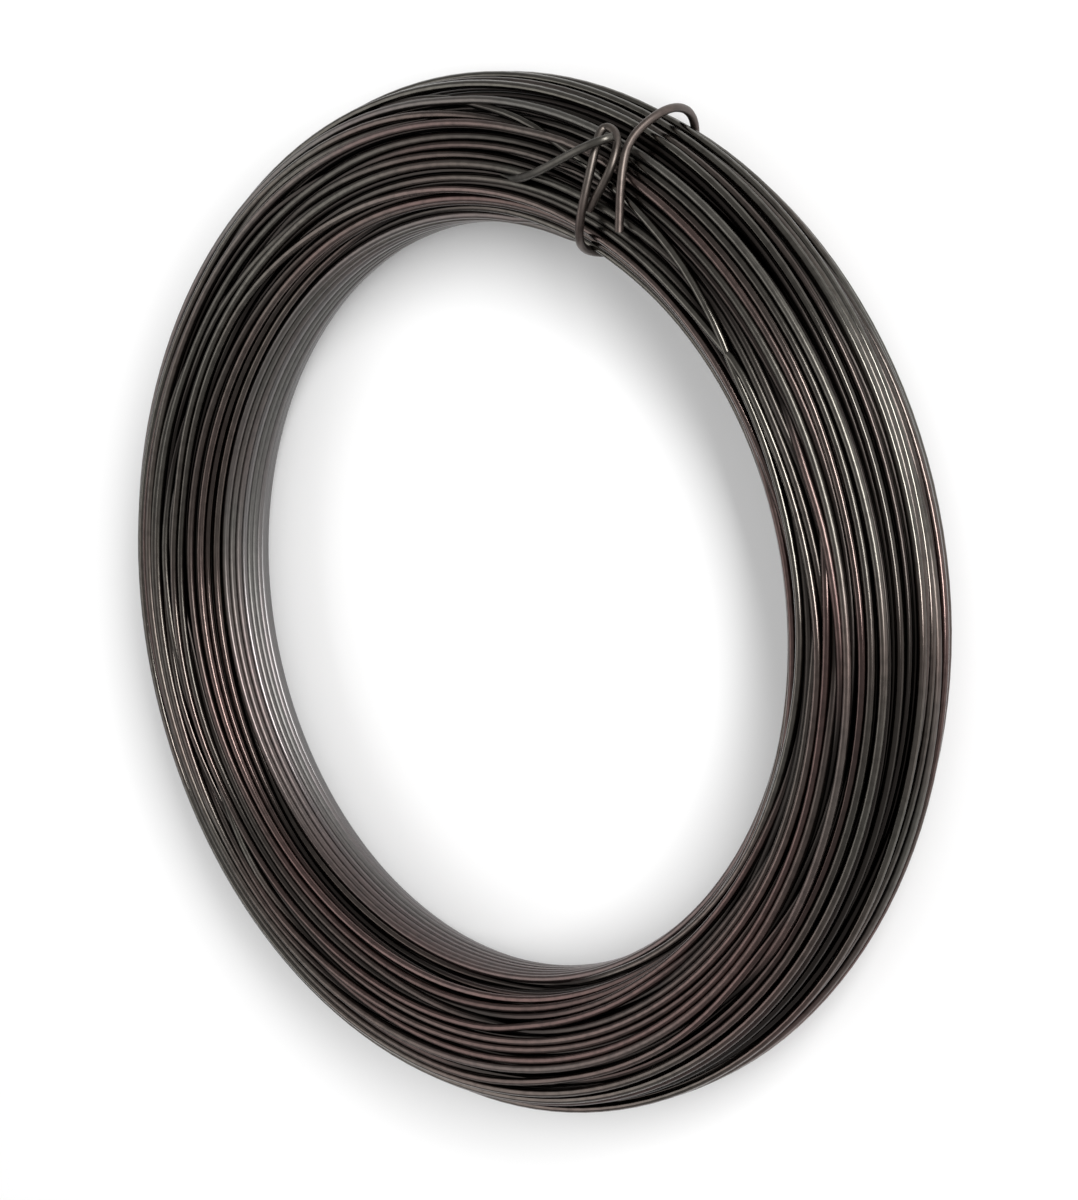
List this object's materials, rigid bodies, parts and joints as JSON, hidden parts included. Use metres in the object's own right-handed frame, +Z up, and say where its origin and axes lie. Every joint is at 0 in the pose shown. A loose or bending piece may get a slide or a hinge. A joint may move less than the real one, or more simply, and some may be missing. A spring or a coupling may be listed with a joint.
{
  "type": "coil of annealed wire",
  "caption": "Ring-shaped coil of soft, dark annealed steel wire in loose parallel turns, held by a wire tie and lying on its side; stock for binding and fencing.",
  "frame": {"origin": "on the axis of the coil, at floor level", "axes": "+Z up along the axis of the coil, +X towards the tie"},
  "size_m": [0.2836, 0.28, 0.0415],
  "materials": {
    "annealed_wire": "dark satin oxide"
  },
  "bodies": {
    "root": {"wire_coil": "annealed_wire", "tie_wire": "annealed_wire"}
  },
  "joints": []
}
